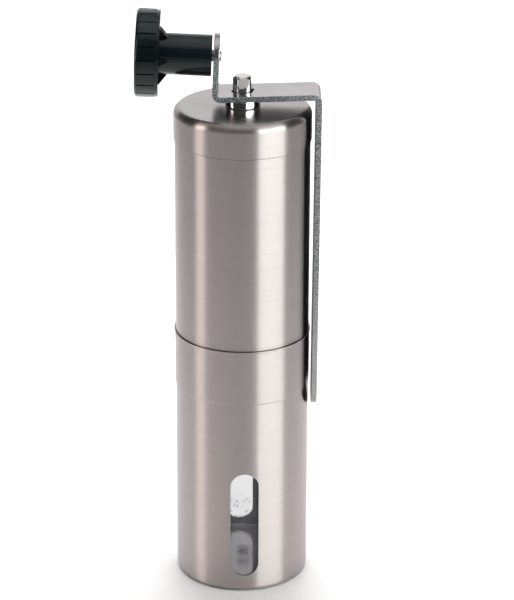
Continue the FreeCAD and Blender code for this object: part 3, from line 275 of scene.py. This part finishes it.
# Dust specks, the gate mark and the gate mark's painted reflection darken the plastic and make it less
# clear.
to_shader(clear_plastic, between(clear_plastic, marks, CLEAR, COFFEE_DUST_AND_REFLECTION), "Base Color")
to_shader(clear_plastic, ranged(clear_plastic, marks, (0.0, 1.0), CLEAN_ALPHA, MARKED_ALPHA), "Alpha")
glossed(clear_plastic, scuffs, *CLEAR_ROUGHNESS, PATCHY_SPREAD)
give_finish(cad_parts["cup_liner"], clear_plastic)

# ---------------------------------------------------------------- hopper tube
# Rolled stainless tube that holds the beans, with the same brushing as the cup. It is necked in at the
# top for the lid, and the burr housing closes its foot.
give_finish(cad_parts["hopper_tube"], body_steel)

# ---------------------------------------------------------------- black mouldings
# The burr housing, the bridge that carries the upper bush and the adjuster's wheel are glass-filled
# nylon, moulded with a fine spark-eroded grain. Their edges keep the small radius of the mould.
MOULDING_BLACK = (0.028, 0.028, 0.030)
MOULDING_DARKER = (0.022, 0.022, 0.024)
MOULDING_PALER = (0.038, 0.038, 0.040)
MOULDING_ROUGHNESS = (0.36, 0.52)
GRAIN_PER_METRE = 4200.0
GRAIN_DEPTH = 0.00003
GRAIN_RELIEF = 0.5
MOTTLE_PER_METRE = 160.0
MOSTLY_FIRST = (0.35, 0.7)
HOUSING_EDGE = 0.00018
BRIDGE_EDGE = 0.00025
WHEEL_EDGE = 0.00014
EDGE_STEPS = 2
MERGE_WITHIN = 1e-6
FLAT_WITHIN = math.radians(0.4)
SHARP_FROM = math.radians(32.0)


def select_none():
    """Clear the selection."""
    bpy.ops.object.select_all(action="DESELECT")


def eased_copy(node, body, finish, edge, steps=EDGE_STEPS, name=None):
    """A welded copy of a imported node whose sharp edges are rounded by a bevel, which replaces it."""
    piece = bpy.data.objects.new(name or f"{node}_eased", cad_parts[node].data.copy())
    bpy.context.scene.collection.objects.link(piece)
    select_none()
    piece.select_set(True)
    bpy.context.view_layer.objects.active = piece
    bpy.ops.mesh.customdata_custom_splitnormals_clear()
    bpy.ops.object.mode_set(mode="EDIT")
    bpy.ops.mesh.select_all(action="SELECT")
    bpy.ops.mesh.remove_doubles(threshold=MERGE_WITHIN)
    bpy.ops.mesh.dissolve_limited(angle_limit=FLAT_WITHIN)
    bpy.ops.object.mode_set(mode="OBJECT")
    easing = piece.modifiers.new("easing", "BEVEL")
    easing.width = edge
    easing.segments = steps
    easing.limit_method = "ANGLE"
    easing.angle_limit = SHARP_FROM
    easing.miter_outer = "MITER_ARC"
    bpy.ops.object.modifier_apply(modifier=easing.name)
    bpy.ops.object.shade_smooth_by_angle(angle=SHARP_FROM)
    weighting = piece.modifiers.new("weighting", "WEIGHTED_NORMAL")
    weighting.keep_sharp = True
    bpy.ops.object.modifier_apply(modifier=weighting.name)
    give_finish(piece, finish)
    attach(piece, body)
    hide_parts(node)
    return piece


black_moulding = new_finish("black_moulding", MOULDING_BLACK, roughness=0.42)
grain = noise(black_moulding, GRAIN_PER_METRE)
mottle = noise(black_moulding, MOTTLE_PER_METRE)
shaded(black_moulding, mottle, MOSTLY_FIRST, MOULDING_DARKER, MOULDING_PALER)
glossed(black_moulding, grain, *MOULDING_ROUGHNESS)
bumped(black_moulding, grain, GRAIN_DEPTH, GRAIN_RELIEF)
eased_copy("burr_housing", "hopper", black_moulding, HOUSING_EDGE)
eased_copy("shaft_bridge", "hopper", black_moulding, BRIDGE_EDGE)
eased_copy("adjuster_wheel", "adjuster", black_moulding, WHEEL_EDGE)

# ---------------------------------------------------------------- neck ring
# Soft black rubber ring, moulded and stretched over the neck of the burr housing. It grips the inside
# of the cup's mouth, and its surface has a faint grey bloom.
RUBBER_BLACK = (0.03, 0.03, 0.03)
RUBBER_DARKER = (0.024, 0.024, 0.024)
RUBBER_BLOOM = (0.05, 0.048, 0.046)
BLOOM_PER_METRE = 900.0
BLOOM_DEPTH = 0.00002
BLOOM_RELIEF = 0.4

black_rubber = new_finish("black_rubber", RUBBER_BLACK, roughness=0.75)
bloom = noise(black_rubber, BLOOM_PER_METRE, MUCH_DETAIL)
shaded(black_rubber, bloom, PATCHY_SPREAD, RUBBER_DARKER, RUBBER_BLOOM)
bumped(black_rubber, bloom, BLOOM_DEPTH, BLOOM_RELIEF)
give_finish(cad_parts["neck_ring"], black_rubber)

# ---------------------------------------------------------------- bushes
# Two plain bronze bearings for the shaft, turned from bar with fine tool lines round them. One is
# pressed into the burr housing and the other into the bridge.
BRONZE = (0.62, 0.47, 0.25)
BRONZE_DARKER = (0.50, 0.36, 0.18)
BRONZE_PALER = (0.66, 0.50, 0.27)
BRONZE_ROUGHNESS = (0.24, 0.38)
TURNING_LINES = (500, 500, 6000)
TURNING_DEPTH = 0.00001
TURNING_RELIEF = 0.4
BUSH_EDGE = 0.00015

bronze = new_finish("bronze", BRONZE, metallic=1.0, roughness=0.3)
turning = noise(bronze, 1.0, SOME_DETAIL, TURNING_LINES)
shaded(bronze, turning, EVEN_SPREAD, BRONZE_DARKER, BRONZE_PALER)
glossed(bronze, turning, *BRONZE_ROUGHNESS)
bumped(bronze, turning, TURNING_DEPTH, TURNING_RELIEF)
eased_copy("lower_bush", "hopper", bronze, BUSH_EDGE)
eased_copy("upper_bush", "hopper", bronze, BUSH_EDGE)

# ---------------------------------------------------------------- burrs
# A toothed ring and a toothed cone of fired, unglazed ceramic. The ring sits still in the housing and
# the cone turns inside it on the shaft. Coffee oil has stained them in patches.
CERAMIC = (0.86, 0.84, 0.80)
CERAMIC_STAINED = (0.70, 0.64, 0.56)
CERAMIC_ROUGHNESS = (0.42, 0.62)
PORES_PER_METRE = 5200.0
PORE_DEPTH = 0.00002
PORE_RELIEF = 0.4
STAINS_PER_METRE = 240.0
STAIN_SPREAD = (0.45, 0.75)
BURR_EDGE = 0.00008
CHAMFER_STEPS = 1

ceramic = new_finish("burr_ceramic", CERAMIC, coat_weight=0.15, coat_roughness=0.3)
pores = noise(ceramic, PORES_PER_METRE)
stains = noise(ceramic, STAINS_PER_METRE, MUCH_DETAIL)
shaded(ceramic, stains, STAIN_SPREAD, CERAMIC, CERAMIC_STAINED)
glossed(ceramic, pores, *CERAMIC_ROUGHNESS)
bumped(ceramic, pores, PORE_DEPTH, PORE_RELIEF)
eased_copy("outer_burr", "hopper", ceramic, BURR_EDGE, CHAMFER_STEPS)
eased_copy("inner_burr", "burr", ceramic, BURR_EDGE, CHAMFER_STEPS)

# ---------------------------------------------------------------- small steel parts
# Washers, a detent plate, a clip, threaded nuts and the knob's pin, stamped or turned from steel and
# zinc plated. They hold the burrs, the shaft, the adjuster, the lid's collar and the knob in place.
ZINC = (0.60, 0.60, 0.61)
ZINC_DARKER = (0.50, 0.50, 0.52)
ZINC_PALER = (0.64, 0.64, 0.65)
ZINC_ROUGHNESS = (0.26, 0.42)
PLATING_PER_METRE = 1400.0
PLATING_DEPTH = 0.00001
PLATING_RELIEF = 0.3
HARDWARE_EDGE = 0.0001

hardware_steel = new_finish("hardware_steel", ZINC, metallic=1.0, roughness=0.35)
plating = noise(hardware_steel, PLATING_PER_METRE, MUCH_DETAIL)
shaded(hardware_steel, plating, EVEN_SPREAD, ZINC_DARKER, ZINC_PALER)
glossed(hardware_steel, plating, *ZINC_ROUGHNESS)
bumped(hardware_steel, plating, PLATING_DEPTH, PLATING_RELIEF)
for node, body in (("burr_retainer", "hopper"), ("thrust_washer", "shaft"), ("shaft_clip", "shaft"),
                   ("spring_seat", "shaft"), ("click_plate", "burr"), ("adjuster_nut", "adjuster"),
                   ("collar_nut", "lid"), ("pin_washer", "crank"), ("knob_pin", "crank")):
    eased_copy(node, body, hardware_steel, HARDWARE_EDGE)

# ---------------------------------------------------------------- burr spring
# Coil of drawn spring wire round the shaft, between its seat and the inner burr. It pushes the burr
# down, and closes by a little more than the burr's travel when the adjuster lifts the burr.
SPRING_WIRE = (0.55, 0.55, 0.56)
SPRING_DARKER = (0.42, 0.42, 0.44)
SPRING_PALER = (0.60, 0.60, 0.61)
SPRING_ROUGHNESS = (0.2, 0.34)
DRAWING_PER_METRE = 2600.0

spring_steel = new_finish("spring_steel", SPRING_WIRE, metallic=1.0, roughness=0.25)
drawing = noise(spring_steel, DRAWING_PER_METRE)
shaded(spring_steel, drawing, MOSTLY_FIRST, SPRING_DARKER, SPRING_PALER)
glossed(spring_steel, drawing, *SPRING_ROUGHNESS)
coil = bpy.data.objects.new("burr_spring_coil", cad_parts["burr_spring"].data.copy())
bpy.context.scene.collection.objects.link(coil)
give_finish(coil, spring_steel)
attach(coil, "shaft")
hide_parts("burr_spring")
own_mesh(coil)

# ---------------------------------------------------------------- driver and lid sleeve
# Two natural white acetal mouldings. The driver keys the inner burr to the shaft. The sleeve sits
# inside the lid and slips over the tube's neck.
ACETAL = (0.80, 0.80, 0.78)
ACETAL_PALER = (0.83, 0.83, 0.81)
ACETAL_DARKER = (0.74, 0.74, 0.71)
ACETAL_ROUGHNESS = (0.33, 0.48)
SWIRLS_PER_METRE = 300.0
ACETAL_EDGE = 0.00015

acetal = new_finish("white_acetal", ACETAL, roughness=0.4, subsurface_weight=0.1, subsurface_scale=0.001)
swirl = noise(acetal, SWIRLS_PER_METRE)
shaded(acetal, swirl, MOSTLY_FIRST, ACETAL_PALER, ACETAL_DARKER)
glossed(acetal, swirl, *ACETAL_ROUGHNESS)
eased_copy("burr_driver", "burr", acetal, ACETAL_EDGE)
eased_copy("lid_sleeve", "lid", acetal, ACETAL_EDGE)

# ---------------------------------------------------------------- grinder shaft
# Drawn and polished stainless rod, from the adjuster's thread at its foot to the pentagon stub above
# the lid, which is milled. Faint drawing lines run along it.
ROD = (0.80, 0.785, 0.765)
ROD_PALER = (0.82, 0.805, 0.785)
ROD_DARKER = (0.74, 0.725, 0.705)
ROD_ROUGHNESS = (0.09, 0.16)
ROD_LINES = (2600, 2600, 60)
ROD_EDGE = 0.00022
ROUND_STEPS = 3

polished_rod = new_finish("polished_rod", ROD, metallic=1.0, roughness=0.14)
rod_lines = noise(polished_rod, 1.0, SOME_DETAIL, ROD_LINES)
glossed(polished_rod, rod_lines, *ROD_ROUGHNESS)
shaded(polished_rod, rod_lines, PATCHY_SPREAD, ROD_PALER, ROD_DARKER)
eased_copy("grinder_shaft", "shaft", polished_rod, ROD_EDGE, ROUND_STEPS)

# ---------------------------------------------------------------- lid
# Pressed stainless cap with a slightly domed top, which closes the tube. Its skirt is brushed round
# like the tube, and its top is a smoother satin.
LID_TOP = (0.55, 0.52, 0.525)
LID_TOP_PALER = (0.56, 0.53, 0.535)
LID_TOP_DARKER = (0.50, 0.47, 0.475)
LID_TOP_ROUGHNESS = (0.19, 0.27)
LID_SATIN_PER_METRE = 1800.0
LID_SATIN_DEPTH = 0.000006
SATIN_RELIEF = 0.2
LID_CLOUDS_PER_METRE = 60.0
LID_EDGE = 0.00015
LEVEL_FACE = 0.93
LID_TOP_SLOT = 1

lid_top = new_finish("lid_top", LID_TOP, metallic=1.0, roughness=0.22)
lid_satin = noise(lid_top, LID_SATIN_PER_METRE, MUCH_DETAIL)
lid_cloud = noise(lid_top, LID_CLOUDS_PER_METRE)
shaded(lid_top, lid_cloud, MOSTLY_FIRST, LID_TOP_PALER, LID_TOP_DARKER)
glossed(lid_top, lid_satin, *LID_TOP_ROUGHNESS)
bumped(lid_top, lid_satin, LID_SATIN_DEPTH, SATIN_RELIEF)
lid_shell = eased_copy("lid_cap", "lid", body_steel, LID_EDGE, name="lid_shell")
lid_shell.data.materials.append(lid_top)
for face in lid_shell.data.polygons:
    if abs(face.normal.z) > LEVEL_FACE:
        face.material_index = LID_TOP_SLOT

# ---------------------------------------------------------------- lid collar
# Turned steel collar round the shaft in the middle of the lid, mirror plated in chrome. A nut under the
# lid clamps it.
CHROME = (0.80, 0.80, 0.80)
CHROME_ROUGHNESS = (0.03, 0.09)
HAZE_PER_METRE = 700.0
COLLAR_EDGE = 0.0003

chromed_collar = new_finish("chromed_collar", CHROME, metallic=1.0, roughness=0.05)
haze = noise(chromed_collar, HAZE_PER_METRE)
glossed(chromed_collar, haze, *CHROME_ROUGHNESS)
eased_copy("lid_collar", "lid", chromed_collar, COLLAR_EDGE, ROUND_STEPS)

# ---------------------------------------------------------------- crank bar
# Flat steel strip, bent twice: a riser to the knob, a saddle over the lid and a long leg down the side.
# Its faces are satin, and its sheared edges are coarse from tumbling, dark and speckled, and paler
# towards the foot of the leg. Its back, which faces the tube along the leg and faces down under the
# saddle, is painted dark and dull as painted shade.
CRANK_FACE = (0.60, 0.58, 0.60)
CRANK_FACE_DARKER = (0.56, 0.54, 0.56)
CRANK_FACE_PALER = (0.62, 0.60, 0.62)
CRANK_FACE_ROUGHNESS = (0.17, 0.27)
CRANK_SATIN_PER_METRE = 1500.0
CRANK_SATIN_DEPTH = 0.000008
CRANK_CLOUDS_PER_METRE = 90.0
CRANK_EDGE = (0.34, 0.35, 0.36)
CRANK_EDGE_DARK = (0.10, 0.11, 0.12)
CRANK_EDGE_PALE = (0.50, 0.52, 0.53)
CRANK_EDGE_FOOT = (0.46, 0.44, 0.45)
CRANK_EDGE_ROUGHNESS = (0.3, 0.6)
PALER_DOWNWARDS_SPREAD = (0.118, 0.088)
PALER_DOWNWARDS_MOST = 0.75
TUMBLING_PER_METRE = 2200.0
TUMBLING_SPREAD = (0.40, 0.60)
TUMBLING_DEPTH = 0.00009
TUMBLING_RELIEF = 0.7
PITS_PER_METRE = 3600.0
CRANK_BACK_SHADE = (0.16, 0.16, 0.165)
CRANK_BACK_SHADE_DARKER = (0.12, 0.12, 0.125)
CRANK_BACK_SHADE_PALER = (0.2, 0.2, 0.205)
CRANK_BACK_ROUGHNESS = (0.42, 0.6)
BACK_SHADE_MOTTLE_PER_METRE = 800.0
STRIP_EDGE = 0.0003
SADDLE_LOW = 0.170
SADDLE_HIGH = 0.186
RISER_ROUND = 0.190
LOOKS_UP = 0.12
LEANS = 0.3
BROAD_FACE = 0.8
FACE_SLOT = 0
EDGE_SLOT = 1
BACK_SLOT = 2

crank_face = new_finish("crank_face", CRANK_FACE, metallic=1.0, roughness=0.2)
crank_satin = noise(crank_face, CRANK_SATIN_PER_METRE, MUCH_DETAIL)
crank_cloud = noise(crank_face, CRANK_CLOUDS_PER_METRE)
shaded(crank_face, crank_cloud, MOSTLY_FIRST, CRANK_FACE_DARKER, CRANK_FACE_PALER)
glossed(crank_face, crank_satin, *CRANK_FACE_ROUGHNESS)
bumped(crank_face, crank_satin, CRANK_SATIN_DEPTH, SATIN_RELIEF)

crank_edge = new_finish("crank_edge", CRANK_EDGE, metallic=1.0, roughness=0.42)
tumbling = noise(crank_edge, TUMBLING_PER_METRE, MUCH_DETAIL)
pits = noise(crank_edge, PITS_PER_METRE, PLAIN_DETAIL)
edge_height = axes_of(crank_edge, own_place(crank_edge))[2]
# The edge turns paler towards the foot of the leg.
paler_downwards = ranged(crank_edge, edge_height, PALER_DOWNWARDS_SPREAD, 0.0, PALER_DOWNWARDS_MOST)
speckled = between(crank_edge, ranged(crank_edge, tumbling, TUMBLING_SPREAD, 0.0, 1.0),
                   CRANK_EDGE_DARK, CRANK_EDGE_PALE)
to_shader(crank_edge, between(crank_edge, paler_downwards, speckled, CRANK_EDGE_FOOT), "Base Color")
glossed(crank_edge, pits, *CRANK_EDGE_ROUGHNESS)
bumped(crank_edge, tumbling, TUMBLING_DEPTH, TUMBLING_RELIEF)

# Painted shade: the strip's back is painted dark and dull, for the shade between the leg and the tube and
# under the saddle.
crank_back_shade = new_finish("crank_back_shade", CRANK_BACK_SHADE, metallic=1.0, roughness=0.5)
back_shade_mottle = noise(crank_back_shade, BACK_SHADE_MOTTLE_PER_METRE, MUCH_DETAIL)
shaded(crank_back_shade, back_shade_mottle, MOSTLY_FIRST, CRANK_BACK_SHADE_DARKER, CRANK_BACK_SHADE_PALER)
glossed(crank_back_shade, back_shade_mottle, *CRANK_BACK_ROUGHNESS)

crank_bar = eased_copy("crank_arm", "crank", crank_face, STRIP_EDGE, ROUND_STEPS,
                       name="crank_bar")
crank_bar.data.materials.append(crank_edge)
crank_bar.data.materials.append(crank_back_shade)
for face in crank_bar.data.polygons:
    upright = not SADDLE_LOW < face.center.z < SADDLE_HIGH
    if face.center.z > RISER_ROUND and face.normal.z > LOOKS_UP:
        face.material_index = FACE_SLOT
    elif abs(face.normal.y) > LEANS or (upright and abs(face.normal.x) < BROAD_FACE):
        face.material_index = EDGE_SLOT
    # Faces turned towards the tube, and the saddle's underside, take the painted shade.
    elif face.normal.x < -LEANS or (face.normal.z < -LEANS and not upright):
        face.material_index = BACK_SLOT

# ---------------------------------------------------------------- knob
# Glossy black moulding, a disc with a grooved rim on a hub with gussets, and a cap over the head of its
# pin. It spins freely on that pin at the end of the crank's riser. Hands have left faint smears on it.
KNOB_BLACK = (0.008, 0.010, 0.011)
KNOB_DARKER = (0.004, 0.008, 0.009)
KNOB_PALER = (0.008, 0.014, 0.016)
KNOB_ROUGHNESS = (0.07, 0.12)
ORANGE_PEEL_PER_METRE = 700.0
ORANGE_PEEL_DEPTH = 0.00002
ORANGE_PEEL_RELIEF = 0.25
SMEARS_PER_METRE = 130.0
KNOB_EDGE = 0.0003
KNOB_CAP_EDGE = 0.0002

knob_plastic = new_finish("knob_plastic", KNOB_BLACK, roughness=0.16, specular_ior_level=0.45)
orange_peel = noise(knob_plastic, ORANGE_PEEL_PER_METRE)
smears = noise(knob_plastic, SMEARS_PER_METRE, MUCH_DETAIL)
shaded(knob_plastic, smears, MOSTLY_FIRST, KNOB_DARKER, KNOB_PALER)
glossed(knob_plastic, smears, *KNOB_ROUGHNESS)
bumped(knob_plastic, orange_peel, ORANGE_PEEL_DEPTH, ORANGE_PEEL_RELIEF)
eased_copy("knob", "knob", knob_plastic, KNOB_EDGE, ROUND_STEPS)
eased_copy("knob_cap", "knob", knob_plastic, KNOB_CAP_EDGE)

# ---------------------------------------------------------------- floor
# Plain pale sheet that the grinder stands on, matt and without a pattern, and so wide that its far side
# is lost in the light. It isn't part of the grinder.
FLOOR_SIZE = 12.0
FLOOR_PALE = (0.93, 0.93, 0.93)

floor_finish = new_finish("pale_floor", FLOOR_PALE, roughness=0.8)
select_none()
bpy.ops.mesh.primitive_plane_add(size=FLOOR_SIZE, location=(0, 0, 0))
floor = bpy.context.object
floor.name = "studio_floor"
give_finish(floor, floor_finish)

# ---------------------------------------------------------------- studio light
# Two soft boxes show only in metal and gloss: a large one to the front right, and a narrower and warmer
# one to the left. A panel over the floor behind lights what is matt and shows in no reflection. The
# studio round it is bright behind and overhead, and nearly dark elsewhere.
LIGHTS_AIM = (0.0, 0.0, 0.09)
SOFTBOX_HEIGHT = 0.55
SOFTBOX_DISTANCE = 1.5
SOFTBOX_TALL = 1.1
KEY_AZIMUTH = 49.5
KEY_WIDE = 1.36
KEY_RADIANCE = 5.4
KEY_COLOUR = (0.975, 1.035, 1.015)
LEFT_AZIMUTH = -74
LEFT_WIDE = 0.48
LEFT_RADIANCE = 3.5
LEFT_COLOUR = (1.0, 0.90, 0.85)
POOL_PLACE = (0.0, 0.43, 0.5)
POOL_AIM = (0.0, 0.4301, 0.0)
POOL_WIDE = 0.4
POOL_LONG = 1.2
POOL_RADIANCE = 4.3
POOL_COLOUR = (1.0, 1.0, 1.0)
BEHIND_SPREAD = (0.6, 0.95)
BEHIND_STRENGTH = (0.05, 0.9)
OVERHEAD_SPREAD = (0.7, 0.98)
OVERHEAD_STRENGTH = (0.0, 0.75)
STUDIO_COLOUR = (1.0, 0.985, 0.98)


def soft_light(name, place, aim, wide, tall, radiance, colour):
    """A rectangular area light at a place, turned to a point, whose face has this radiance."""
    light = bpy.data.lights.new(name, "AREA")
    light.shape = "RECTANGLE"
    light.size = wide
    light.size_y = tall
    light.energy = radiance * math.pi * wide * tall
    light.color = colour
    holder = bpy.data.objects.new(name, light)
    bpy.context.scene.collection.objects.link(holder)
    holder.location = place
    holder.rotation_mode = "QUATERNION"
    holder.rotation_quaternion = (Vector(aim) - Vector(place)).to_track_quat("-Z", "Y")
    return holder


def around(azimuth, height, distance):
    """A place round the grinder; azimuth 0 is on the camera's side and 90 to its right."""
    turn = math.radians(azimuth)
    return (math.sin(turn) * distance, -math.cos(turn) * distance, height)


key_softbox = soft_light("key_softbox", around(KEY_AZIMUTH, SOFTBOX_HEIGHT, SOFTBOX_DISTANCE), LIGHTS_AIM,
                         KEY_WIDE, SOFTBOX_TALL, KEY_RADIANCE, KEY_COLOUR)
key_softbox.visible_diffuse = False
left_strip = soft_light("left_strip", around(LEFT_AZIMUTH, SOFTBOX_HEIGHT, SOFTBOX_DISTANCE), LIGHTS_AIM,
                        LEFT_WIDE, SOFTBOX_TALL, LEFT_RADIANCE, LEFT_COLOUR)
left_strip.visible_diffuse = False
floor_pool = soft_light("floor_pool", POOL_PLACE, POOL_AIM, POOL_WIDE, POOL_LONG, POOL_RADIANCE, POOL_COLOUR)
floor_pool.visible_camera = False
floor_pool.visible_glossy = False

studio = bpy.data.worlds.new("studio")
studio.use_nodes = True
bpy.context.scene.world = studio
direction = add_node(studio, "ShaderNodeTexCoord").outputs["Generated"]
ahead, up = axes_of(studio, direction)[1:]
behind = ranged(studio, ahead, BEHIND_SPREAD, *BEHIND_STRENGTH)
overhead = ranged(studio, up, OVERHEAD_SPREAD, *OVERHEAD_STRENGTH)
background = studio.node_tree.nodes["Background"]
background.inputs["Color"].default_value = opaque(STUDIO_COLOUR)
studio.node_tree.links.new(worked(studio, "MAXIMUM", behind, overhead), background.inputs["Strength"])

# ---------------------------------------------------------------- camera
# A long lens in front of the grinder and above it, which looks down on it at about 22 degrees. Its
# turns are in radians: down, to the right, and anticlockwise about its own line of sight.
CAMERA_PLACE = (0.0, -0.8816, 0.4632)
CAMERA_DOWN = 0.3874
CAMERA_RIGHT = 0.0059
CAMERA_ANTICLOCKWISE = 0.0042
LENS_LENGTH = 161.8
SENSOR_WIDTH = 36.0

ahead_way = Vector((math.sin(CAMERA_RIGHT) * math.cos(CAMERA_DOWN),
                    math.cos(CAMERA_RIGHT) * math.cos(CAMERA_DOWN),
                    -math.sin(CAMERA_DOWN)))
level_right = Vector((math.cos(CAMERA_RIGHT), -math.sin(CAMERA_RIGHT), 0.0))
level_up = level_right.cross(ahead_way)
right_way = math.cos(CAMERA_ANTICLOCKWISE) * level_right + math.sin(CAMERA_ANTICLOCKWISE) * level_up
up_way = right_way.cross(ahead_way)
lens = bpy.data.cameras.new("camera")
lens.lens = LENS_LENGTH
lens.sensor_width = SENSOR_WIDTH
camera = bpy.data.objects.new("camera", lens)
bpy.context.scene.collection.objects.link(camera)
camera_turn = Matrix((right_way, up_way, -ahead_way)).transposed().to_4x4()
camera.matrix_world = Matrix.Translation(CAMERA_PLACE) @ camera_turn
bpy.context.scene.camera = camera
bpy.context.scene.view_settings.view_transform = "Standard"
